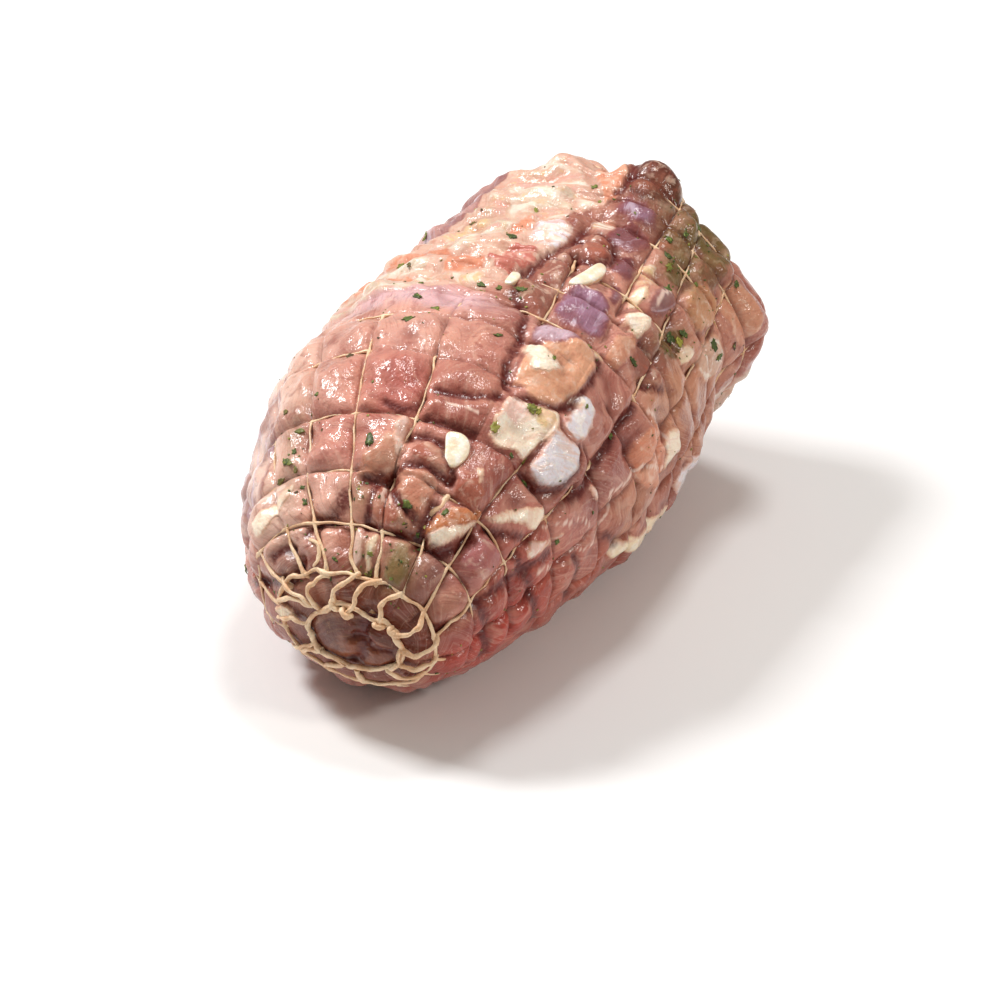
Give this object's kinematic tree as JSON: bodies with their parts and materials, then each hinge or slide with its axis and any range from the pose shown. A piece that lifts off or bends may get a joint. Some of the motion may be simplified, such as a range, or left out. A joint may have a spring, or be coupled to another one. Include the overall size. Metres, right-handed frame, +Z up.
{
  "type": "rolled pork roast",
  "caption": "Raw boneless pork joint rolled into a blunt log and held in an elastic cotton net, with garlic slivers and herb flecks, lying on its flattened side.",
  "frame": {"origin": "centre of the underside, on the surface that it lies on", "axes": "+Z up; Y along the roll, with the gathered end of the net at -Y and the larger, cleft end at +Y; +X to the side with the low lobe"},
  "size_m": [0.138, 0.238, 0.1181],
  "materials": {
    "raw_meat": "wet, glossy, marbled pink to dark red with cream fat",
    "netting": "matt twisted cotton, damp",
    "garlic": "satin, slightly translucent"
  },
  "bodies": {
    "root": {"meat": "raw_meat", "netting": "netting", "garlic_sliver_1": "garlic", "garlic_sliver_2": "garlic", "garlic_sliver_3": "garlic"}
  },
  "joints": []
}
